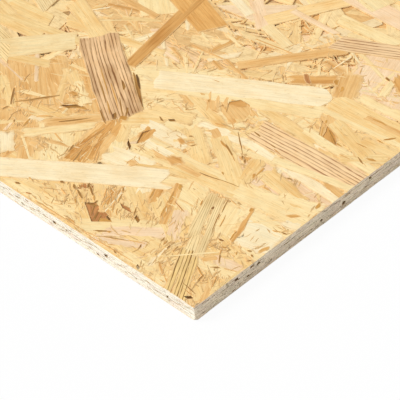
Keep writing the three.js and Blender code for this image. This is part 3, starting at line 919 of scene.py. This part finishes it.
pressedLook = {
    # How dark the wood is at each point of a year
    "year": [(0.0, 0.0), (0.56, 0.03), (0.72, 0.5), (0.84, 1.0), (0.93, 0.35), (1.0, 0.0)],
    "seedStep": 1.37,  # from one strand's place in the noise to the next
    "stained": "#efd8b0",
    "filled": "#f6d196",
    # the brown at strand edges, partly dirt and partly painted shade of the crevices between strands
    "dirtAndShadeTone": "#a97a3c",
    "resin": "#c39757",
    "roughness": (0.72, 0.58),  # of the spring and the summer wood
    "sheen": 0.3,
    "fibreHeight": 0.5,
    "ringHeight": -0.25,
    "bump": {"Strength": 0.6, "Distance": 0.0002},
}


# Pine sliced along the grain, hot-pressed with a little wax and resin: yearly rings drawn out as long
# lines, fine fibre streaks, short dark resin dashes, and a dull surface with a faint waxy sheen
def makePressedPine():
    look = pressedLook
    material, add = newMaterial("pressedPine")
    grain, pale, ring, figure, rim = (
        add("Attribute", attribute_name=name).outputs[kind]
        for name, kind in (("grain", "Vector"), ("paleWood", "Color"), ("ringWood", "Color"),
                           ("figure", "Vector"), ("rim", "Fac")))
    place = add("TexCoord").outputs["Object"]
    lines, perRing, mottle = add("SeparateXYZ", (figure,)).outputs

    def pattern(name, source=grain, unit=1.0):  # unit is how many mm one step in the source is short for
        length, width, *levels = pressedPatterns[name]
        return addPatches(add, source, (unit / length, unit / width, look["seedStep"]), *levels)[1]

    # The rings: mm across the strand, bent by slow and quick wander
    bend = pattern("slowBend")
    for name in ("quickBend", "unevenBend"):
        bend = add("Math", (bend, pattern(name)), operation="ADD")
    across = add("SeparateXYZ", (grain,)).outputs[1]
    rings = add("Math", (across, perRing), operation="MULTIPLY")
    rings = add("Math", (rings, bend), operation="ADD")
    year = add("ValToRGB", (add("Math", (rings,), operation="FRACT"),))
    stops = year.color_ramp.elements
    for stop, (position, level) in zip(stops, (look["year"][0], look["year"][-1])):
        stop.position, stop.color = position, (level, level, level, 1)
    for position, level in look["year"][1:-1]:
        stops.new(position).color = (level, level, level, 1)
    summer = add("Math", (year, lines), operation="MULTIPLY")
    summer = add("Math", (summer, pattern("broken")), operation="MULTIPLY")
    mottled = add("Math", [add("Math", (pattern(name), mottle), operation="MULTIPLY")
                           for name in ("streaks", "blotches")], operation="ADD")
    toRing = add("Math", (summer, mottled), operation="ADD", use_clamp=True)
    # What the press left over all strands alike: warm stains of resin, small flecks, and edges that
    # fines have filled up to the tone of the board, here and there darkened to brown, partly by dirt and
    # partly as painted shade of the crevices between strands, and then the strand's own resin dashes
    stain, fleck, dirtAndShade = (pattern(name, place, 1 / mm) for name in ("stain", "fleck", "dirtAndShade"))
    edge = add("MapRange", (rim, 0.0, 1.0, 1.0, 0.0))
    colour = add("Mix", {0: toRing, 6: pale, 7: ring}, data_type="RGBA")
    for share, tone, way in (
        (add("Math", (stain, fleck), operation="ADD", use_clamp=True), "stained", "MULTIPLY"),
        (edge, "filled", "MIX"),
        (add("Math", (edge, dirtAndShade), operation="MULTIPLY"), "dirtAndShadeTone", "MIX"),
        (add("Math", (pattern("dashes"), mottle), operation="MULTIPLY", use_clamp=True), "resin", "MIX"),
    ):
        colour = add("Mix", {0: share, 6: colour, 7: linearColour(look[tone])}, data_type="RGBA",
                     blend_type=way)
    fibre = pattern("fibre")
    colour = add("VectorMath", {0: colour, "Scale": fibre}, operation="SCALE")
    heights = [add("Math", (part, look[size]), operation="MULTIPLY")
               for part, size in ((fibre, "fibreHeight"), (toRing, "ringHeight"))]
    height = add("Math", heights, operation="ADD")
    rough = add("MapRange", (toRing, 0.0, 1.0, *look["roughness"]))
    bump = add("Bump", {"Height": height, **look["bump"]})
    shader = add("BsdfPrincipled", {"Base Color": colour, "Roughness": rough, "Normal": bump,
                                    "Specular IOR Level": look["sheen"]})
    add("OutputMaterial", {"Surface": shader})
    return material


# The same wood opened by a saw or torn. tone is its colour there, share how far that hides each strand's
# own, depth how furry it is, and flecks how dark its pores are. The two sawn tones hold painted light: the
# long edges' cut is near white, as the lit front edge, and the short edges' cut warmer and darker, as the
# shaded end, with only a part of that from side grain against end grain. The torn tone's brown is partly
# painted shade on the walls of gaps and joints. Each pattern starts with the length and height of its
# patches in mm and the noise that shows.
openLook = {
    # the short edges' cut: warmer and a little darker than the long edges', partly end grain and mostly
    # painted shade
    "sawnAcrossWithPaintedShade": {"tone": "#fff0da", "share": 0.75, "depth": 0.225, "flecks": 0.62},
    # torn wood on the walls of gaps and joints and on the core: its brown is partly the wood's and partly
    # painted shade
    "torn": {"tone": "#a9804e", "share": 0.6, "depth": 0.3, "flecks": 0.6},
    # the long edges' cut: near white, partly side grain and mostly painted light
    "sawnAlongWithPaintedLight": {"tone": "#fffbee", "share": 0.8, "depth": 0.13, "flecks": 0.42},
    "fur": (1.3, 0.7, 0.3, 0.7, 1.0, 0.5),  # then how far it darkens and lightens the wood, against depth
    "bands": (9, 0.8, 0.3, 0.7, 0.8, 0.3),
    "stains": [(9, 3, 0.5, 0.7, 3.0, "#f3d9c6"), (7, 2.5, 0.55, 0.75, 3.0, "#e6dfae")],  # and detail, colour
    "stainStrength": 0.5,
    "pores": (2.2, 1.3, 0.6, 0.72, 1.5, "#77653f"),
    "noiseRoughness": 0.6,
    "roughness": 0.85,
    "sheen": 0.2,
    "bump": {"Strength": 0.7, "Distance": 0.0003},
}


# Pine cut or torn across its fibres: furry, in thin flat bands that the pressing left, flecked with dark
# pores and resin, in the tones set out above with their painted light and shade
def makeOpenPine(name, surface):
    look = openLook
    kind = look[surface]
    depth = kind["depth"]
    material, add = newMaterial(name)
    place = add("TexCoord").outputs["Object"]
    pale = add("Attribute", attribute_name="paleWood").outputs["Color"]

    def pattern(length, height, *levels, detail=3.0):  # flat, longer than it is high
        scale = (1 / mm / length, 1 / mm / length, 1 / mm / height)
        return addPatches(add, place, scale, *levels, detail, look["noiseRoughness"])

    (fuzz, fur), (_, bands) = (pattern(*size, 1 - depth * darker, 1 + depth * lighter)
                               for *size, darker, lighter in (look["fur"], look["bands"]))
    wood = add("Mix", {0: kind["share"], 6: pale, 7: linearColour(kind["tone"])}, data_type="RGBA")
    stains = [(stain, look["stainStrength"]) for stain in look["stains"]] + [(look["pores"], kind["flecks"])]
    for (*size, detail, tone), strength in stains:
        share = pattern(*size, 0.0, strength, detail=detail)[1]
        wood = add("Mix", {0: share, 6: wood, 7: linearColour(tone)}, data_type="RGBA")
    level = add("Math", (fur, bands), operation="MULTIPLY")
    colour = add("VectorMath", {0: wood, "Scale": level}, operation="SCALE")
    bump = add("Bump", {"Height": fuzz, **look["bump"]})
    shader = add("BsdfPrincipled", {"Base Color": colour, "Roughness": look["roughness"], "Normal": bump,
                                    "Specular IOR Level": look["sheen"]})
    add("OutputMaterial", {"Surface": shader})
    return material


# A piece that holds many strands. It gets a map seen square on, along the axes given as its right and
# up, on which later strands cover earlier ones.
def makePiece(name, strands, right=0, up=1):
    mesh = bpy.data.meshes.new(name)
    points = np.concatenate([strand["points"] for strand in strands])
    faces, start = [], 0
    for strand in strands:
        faces += [[start + i for i in face] for face in strand["faces"]]
        start += len(strand["points"])
    mesh.from_pydata((points * mm).tolist(), [], faces)
    look = np.concatenate([np.tile(strand["look"], (len(strand["points"]), 1)) for strand in strands])
    grain = [grainOf(strand["points"], strand["place"], strand["seed"]) for strand in strands]
    opaque = np.ones((len(points), 1))
    for key, kind, field, values in (
        ("grain", "FLOAT_VECTOR", "vector", np.concatenate(grain)),
        ("paleWood", "FLOAT_COLOR", "color", np.hstack([look[:, 0:3], opaque])),
        ("ringWood", "FLOAT_COLOR", "color", np.hstack([look[:, 3:6], opaque])),
        ("figure", "FLOAT_VECTOR", "vector", look[:, 6:9]),
        ("rim", "FLOAT", "value", np.concatenate([strand["rim"] for strand in strands])),
    ):
        data = mesh.attributes.new(key, kind, "POINT").data
        data.foreach_set(field, values.astype(np.float32).ravel())
    for material in surfaces:
        mesh.materials.append(material)
    kinds = np.concatenate([strand["skins"] for strand in strands])
    mesh.polygons.foreach_set("material_index", kinds.astype(np.int32))
    seen = points[:, (right, up)]
    seen = (seen - seen.min(0)) / (seen.max(0) - seen.min(0))
    mesh.uv_layers.new(name="OFBake").data.foreach_set("uv", seen[np.concatenate(faces)].ravel())
    mesh.update()
    piece = bpy.data.objects.new(name, mesh)
    bpy.context.scene.collection.objects.link(piece)
    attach(piece, "root")
    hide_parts(panelNode)


# The sawn edges: strand ends packed in courses, each a flat lens that runs a little way into the panel.
# The face strands lie over and under them.
edgeCourses = {
    "from": 0.95,
    "to": 10.3,  # the face strands' ends close the rest
    "thinnest": 0.4,
    "ceiling": (10.36, 10.46),  # no strand end rises past this, where the strands along the rim lie on it
    "overlap": 0.15,
    "wave": 0.12,
    "waveReaches": (23, 9, 51),  # mm along the edge, for one radian
    "joint": (0.3, 1.2),  # how far a strand end laps over the next, where their joint is closed
    "faceShare": 0.27,  # of the thickness at either face, where strands run along the panel
    "inward": 3.0,
    "featherAtVoid": 0.7,
    "least": 1.5,  # shorter ends are left out
    "woods": {"ivory": 0.34, "cream": 0.32, "straw": 0.18, "pink": 0.1, "tan": 0.06},
}

# The courses in view, and broader ones close behind that show in the joints between them: their height,
# the visible length of a strand that runs along the edge and of one that the saw cut through, how far
# they are set back, how they thin out, and the share and length of the joints that stay open
courseSets = [
    {"height": (1.5, 1.9), "alongRun": (90, 140), "acrossRun": (50, 90), "setBack": (0.3, 0.45),
     "feather": 0.05, "featherMost": 0.5, "openShare": 0.0, "opening": (0.4, 1.2)},
    {"height": (0.45, 0.9), "alongRun": (30, 110), "acrossRun": (4, 24), "setBack": (0.01, 0.14),
     "feather": 0.35, "featherMost": 4.0, "openShare": 0.07, "opening": (0.4, 1.4)},
]

# Open voids near the corner: distance along the edge from it, height, length and height of the void
voidsOnSide = [
    (21.5, 6, 2, 0.9), (71, 6, 2.6, 1.5), (78, 3, 1.8, 0.7), (103.5, 5, 2, 0.7), (114.5, 5.2, 2.4, 1.5),
    (138, 8.5, 2.4, 1.0),
]
voidsOnEnd = [
    (33, 7.8, 2.6, 1.6), (45.5, 9.3, 3.2, 1.3), (50.5, 7.5, 2.4, 0.7), (42, 4, 1.8, 0.9),
    (121, 4.4, 2.4, 1.6), (102, 4, 1.8, 0.8), (144, 8, 2.2, 0.9),
]

# The four edges: the axis that each one faces along and which way, which way it is laid out, how its cut
# and the ends of its strands look, and its voids
edges = {
    "long_edge_front": {"faces": (1, -1), "run": 1, "skins": (sawnAlongWithPaintedLight, sawnAcrossWithPaintedShade),
                        "voids": [(panelHigh[0] - at, *rest) for at, *rest in voidsOnSide]},
    "long_edge_back": {"faces": (1, 1), "run": -1, "skins": (sawnAlongWithPaintedLight, sawnAcrossWithPaintedShade), "voids": []},
    "short_edge_right": {"faces": (0, 1), "run": 1, "skins": (sawnAcrossWithPaintedShade, sawnAlongWithPaintedLight),
                         "voids": [(panelLow[1] + at, *rest) for at, *rest in voidsOnEnd]},
    "short_edge_left": {"faces": (0, -1), "run": -1, "skins": (sawnAcrossWithPaintedShade, sawnAlongWithPaintedLight), "voids": []},
}


def edgePoint(edge, along, inward, z):  # a point that far along an edge, into the panel and up
    axis, way = edge["faces"]
    point = [0, 0, z]
    point[axis], point[1 - axis] = sideAt(axis, way) - way * inward, edge["run"] * along
    return point


# The stretches of a strand end that the voids leave, each with how far its two ends thin out
def openVoids(start, end, bottom, height, voids, feathers):
    stretches = [(start, end, *feathers)]
    thin = edgeCourses["featherAtVoid"]
    for at, up, length, tall in voids:
        off = abs(bottom + height / 2 - up) / ((tall + height) / 2)
        if off >= 1:
            continue
        left, right = (at + way * length / 2 * math.sqrt(1 - off ** 2) for way in (-1, 1))
        parts = []
        for a, b, thinA, thinB in stretches:
            opened = a < right and b > left
            parts += [(a, left, thinA, thin), (right, b, thin, thinB)] if opened else [(a, b, thinA, thinB)]
        stretches = parts
    return [part for part in stretches if part[1] - part[0] > max(edgeCourses["least"], part[2] + part[3])]


def makeStrandEnd(edge, stretch, bottom, height, lift, setBack):  # one closed lens, its front face sawn
    courses = edgeCourses
    start, end, thinStart, thinEnd = stretch
    knots = np.array([start, start + thinStart, end - thinEnd, end])
    middle = height / 2
    ceiling = dice.uniform(*courses["ceiling"])
    low = np.minimum(bottom + lift(knots) + np.array([middle, 0, 0, middle]), ceiling - courses["overlap"])
    high = bottom + lift(knots) + np.array([middle, height, height, middle]) + courses["overlap"]
    high = np.maximum(np.minimum(high, ceiling), low + courses["overlap"])
    ring = [(knots[0], low[0]), (knots[1], low[1]), (knots[2], low[2]), (knots[3], high[3]),
            (knots[2], high[2]), (knots[1], high[1])]
    points = [edgePoint(edge, s, inward, z) for inward in (setBack, courses["inward"]) for s, z in ring]
    faces = [[11, 10, 9, 8, 7, 6]] + [[6 + k, 6 + (k + 1) % 6, (k + 1) % 6, k] for k in range(6)]
    faces.append([0, 1, 2, 3, 4, 5])
    cut, cutEnd = edge["skins"]
    ends = [cutEnd if thin == 0 else torn for thin in (thinStart, thinEnd)]
    # The lens's top, bottom and back, and its thinned ends, take the torn skin, whose brown is partly painted
    # shade in the joints
    skins = [torn, ends[0], torn, ends[1], ends[1], torn, ends[0], cut]
    return {"points": np.array(points), "faces": faces, "skins": skins, "rim": np.ones(len(points)),
            "place": (0, 0, 0), "seed": 0}


def makeCourse(tiles, edge, kind, bottom, height):
    courses = edgeCourses
    axis = edge["faces"][0]
    edgeLength = panelSize[1 - axis]
    half = edgeLength / 2
    middle = (bottom + height / 2) / panelThickness
    inFace = middle < courses["faceShare"] or middle > 1 - courses["faceShare"]
    run = kind["alongRun"] if inFace == (axis == 1) else kind["acrossRun"]
    phases = dice.uniform(0, 2 * math.pi, 3)

    def lift(s):
        return sum(courses["wave"] * np.sin(s / reach + phase)
                   for reach, phase in zip(courses["waveReaches"], phases))

    at = -half - dice.uniform(0, run[1])
    while at < half:
        size = dice.uniform(*run)
        lowEnd, highEnd = (way * (half - dice.uniform(*sawWander["course"])) for way in (-1, 1))
        start, end = max(at, lowEnd), min(at + size, highEnd)
        isOpen = dice.random() < kind["openShare"]
        at += size + (dice.uniform(*kind["opening"]) if isOpen else -dice.uniform(*courses["joint"]))
        look = lookOf(drawWoods(courses["woods"]))
        thin = min(kind["featherMost"], (end - start) * kind["feather"])
        feathers = (0 if start == lowEnd else thin, 0 if end == highEnd else thin)  # sawn ends stay square
        for stretch in openVoids(start, end, bottom, height, edge["voids"], feathers):
            setBack = dice.uniform(*kind["setBack"])
            strand = knocked(makeStrandEnd(edge, stretch, bottom, height, lift, setBack))
            if strand:
                share = ((stretch[0] + stretch[1]) / 2 + half) / edgeLength
                tiles[int(np.clip(share * len(tiles), 0, len(tiles) - 1))].append(dict(strand, look=look))


def makeEdge(name, edge):
    along = 1 - edge["faces"][0]
    tiles = [[] for _ in range(round(panelSize[along] / tileSize))]
    for kind in courseSets:
        bottom = edgeCourses["from"]
        while bottom < edgeCourses["to"] - edgeCourses["thinnest"]:
            height = min(dice.uniform(*kind["height"]), edgeCourses["to"] - bottom)
            makeCourse(tiles, edge, kind, bottom, height)
            bottom += height
    for index, strands in enumerate(tiles):
        makePiece("%s_%d" % (name, index + 1), strands, along, 2)


tileSize = 610  # of the pieces that the faces and edges are shared among
core = {"inset": 3.4, "top": 9.2, "under": 1.8, "rough": 0.15, "step": 40}


# The rough middle of the panel, which shows at the bottom of a gap: a slab just inside the strands, in the
# torn skin, dark brown partly as torn wood and partly as painted shade
def makeCore(corner):
    low = np.maximum(corner, panelLow[:2] + core["inset"])
    high = np.minimum(corner + tileSize, panelHigh[:2] - core["inset"])
    rows, columns = (round((b - a) / core["step"]) + 1 for a, b in zip(low, high))
    x, y = np.meshgrid(*map(np.linspace, low, high, (rows, columns)), indexing="ij")
    layers = []
    for height in (core["under"], core["top"]):
        heights = height + core["rough"] * dice.standard_normal(x.shape)
        layers.append(np.stack([x.ravel(), y.ravel(), heights.ravel()], 1))
    points = np.concatenate(layers)
    total, cells, loop = rows * columns, gridCells(rows, columns), gridRim(rows, columns)
    faces = [cell[::-1] for cell in cells]
    faces += [[a, b, total + b, total + a] for a, b in zip(loop, loop[1:] + loop[:1])]
    faces += [[total + i for i in cell] for cell in cells]
    slab = {"points": points, "faces": faces, "skins": [torn] * len(faces), "rim": np.ones(len(points)),
            "place": (0, 0, 0), "seed": points[:, 2]}
    return withLook(slab, "tan")


# The strands of a face, shared among square pieces, the outermost strands last
def makeTiles(name, strands, facing, withCore=False):
    columns, rows = (round(size / tileSize) for size in panelSize[:2])
    tiles = [[] for _ in range(columns * rows)]
    if withCore:
        for index, tile in enumerate(tiles):
            tile.append(makeCore(panelLow[:2] + np.array(divmod(index, rows)) * tileSize))
    for strand in sorted(strands, key=lambda strand: (facing * strand["points"][:, 2]).max()):
        column, row = (int(np.clip((at - low) / tileSize, 0, most - 1))
                       for at, low, most in zip(strand["place"], panelLow, (columns, rows)))
        tiles[column * rows + row].append(strand)
    for index, tile in enumerate(tiles):
        makePiece("%s_%d" % (name, index + 1), tile)


def turnedOver(strand):  # moved from the top face to the underside
    strand["points"][:, 2] = panelThickness - strand["points"][:, 2]
    strand["faces"] = [face[::-1] for face in strand["faces"]]
    return strand


def allSawn(strands):  # what the saw leaves of each
    return [strand for strand in map(sawnOff, strands) if strand]


print("materials")
surfaces = [
    makePressedPine(),
    # the two sawn skins differ mostly as painted light, whiter on the long edges and warmer and darker on the
    # short ones
    makeOpenPine("endGrainPineInPaintedShade", "sawnAcrossWithPaintedShade"),
    # the torn skin's brown is partly painted shade in gaps, joints and on the core
    makeOpenPine("tornPineWithPaintedShade", "torn"),
    makeOpenPine("sideGrainPineInPaintedLight", "sawnAlongWithPaintedLight"),
]

print("top face")
cornerReach = cornerLook["reach"]
cornerLow, cornerHigh = cornerPlace(cornerReach[0], 0), cornerPlace(0, cornerReach[1])
nearby = makeCornerStrands()
for kind in ("fragment", "sliver"):
    nearby += strewBits(kind, bits[kind]["inCorner"], cornerLow, cornerHigh)
topStrands = makeRimStrands(rimStrands["tops"])
for layer in faceLayers:
    topStrands += strewStrands(layer, reachesListed if layer is faceLayers[-1] else None)
for kind in ("fragment", "sliver"):
    strewn = strewBits(kind, bits[kind]["elsewhere"], panelLow, panelHigh)
    topStrands += [bit for bit in strewn if not reachesCorner(bit["points"])]
topStrands += [fibre for fibre in roughenFace() if not reachesCorner(fibre["points"])]
nearby += [strand for strand in topStrands if reachesCorner(strand["points"])]
topStrands = [strand for strand in topStrands if not reachesCorner(strand["points"])]
nearby = openCornerGaps(allSawn(nearby))
makePiece("corner_strands", sorted(nearby, key=lambda strand: strand["points"][:, 2].max()))
makeTiles("top_strands", allSawn(topStrands), 1, True)

print("underside")
underStrands = makeRimStrands(rimStrands["topsUnder"])
for layer in faceLayers:
    underStrands += strewStrands(layer)
makeTiles("under_strands", allSawn(map(turnedOver, underStrands)), -1)

print("sawn edges")
for name, edge in edges.items():
    makeEdge(name, edge)


# The stage: a white floor that runs past every view, lit evenly
stage = {
    "floorSize": 60.0,
    "floorDrop": 0.0002,  # keeps it clear of the panel's underside, m
    "floorTones": ("#f4f4f3", "#f8f8f7"),
    "floorGlow": 0.94,  # how much of the floor's white is its own, so that the shadow stays faint
    "skyStrength": 0.5,
    "sunStrength": 2.28,
    "sunSoftness": 25,  # degrees across
    "sunFrom": (-0.57, -0.60, 0.80),
}


def makeFloor():
    half = stage["floorSize"] / 2
    mesh = bpy.data.meshes.new("floor")
    corners = [(-half, -half, 0), (half, -half, 0), (half, half, 0), (-half, half, 0)]
    mesh.from_pydata(corners, [], [[0, 1, 2, 3]])
    material, add = newMaterial("whitePaper")
    mottle = add("TexNoise", {"Scale": 40.0, "Detail": 2.0})
    darker, lighter = map(linearColour, stage["floorTones"])
    tone = add("Mix", {0: mottle, 6: darker, 7: lighter}, data_type="RGBA")
    paper = add("BsdfPrincipled", {"Base Color": tone, "Roughness": 0.9})
    glow = add("Emission", {"Color": (1, 1, 1, 1)})
    path = add("LightPath").outputs
    seen = add("Math", (path["Is Camera Ray"], path["Is Glossy Ray"]), operation="MAXIMUM")
    seen = add("Math", (seen, path["Is Transmission Ray"]), operation="MAXIMUM")
    share = add("Math", (seen, stage["floorGlow"]), operation="MULTIPLY")
    add("OutputMaterial", {"Surface": add("MixShader", (share, paper, glow))})
    mesh.materials.append(material)
    floor = bpy.data.objects.new("floor", mesh)
    floor.location.z = -stage["floorDrop"]
    bpy.context.scene.collection.objects.link(floor)


def makeLights():
    world = bpy.data.worlds.new("sky")
    bpy.context.scene.world = world
    world.use_nodes = True
    world.node_tree.nodes.clear()
    add = partial(addNode, world.node_tree)
    path = add("LightPath").outputs
    seen = add("Math", (path["Is Camera Ray"], path["Is Glossy Ray"]), operation="MAXIMUM")
    strength = add("MapRange", {"Value": seen, "To Min": stage["skyStrength"], "To Max": 1.0})
    add("OutputWorld", {"Surface": add("Background", {"Color": (1, 1, 1, 1), "Strength": strength})})
    lamp = bpy.data.lights.new("softSun", "SUN")
    lamp.energy = stage["sunStrength"]
    lamp.angle = math.radians(stage["sunSoftness"])
    sun = bpy.data.objects.new("softSun", lamp)
    sun.rotation_euler = Vector(stage["sunFrom"]).to_track_quat("Z", "Y").to_euler()
    bpy.context.scene.collection.objects.link(sun)


# The camera looks down over the corner between the front long edge and the right short edge
view = {
    "place": (1.804616, -1.114214, 0.770911),
    "forward": (-0.561541, 0.495587, -0.662620),
    "up": (-0.431840, 0.507564, 0.745582),
    "lens": 180,
    "sensor": 36,
    "clipEnd": 100,
}


def makeCamera():
    data = bpy.data.cameras.new("camera")
    data.lens = view["lens"]
    data.sensor_width = view["sensor"]
    data.clip_end = view["clipEnd"]
    camera = bpy.data.objects.new("camera", data)
    back = -Vector(view["forward"]).normalized()
    up = Vector(view["up"])
    right = up.cross(back).normalized()
    up = back.cross(right)
    turn = [[right[i], up[i], back[i]] for i in range(3)]
    camera.matrix_world = Matrix.Translation(view["place"]) @ Matrix(turn).to_4x4()
    bpy.context.scene.collection.objects.link(camera)
    bpy.context.scene.camera = camera


print("stage and camera")
makeFloor()
makeLights()
makeCamera()
bpy.context.scene.view_settings.view_transform = "Standard"
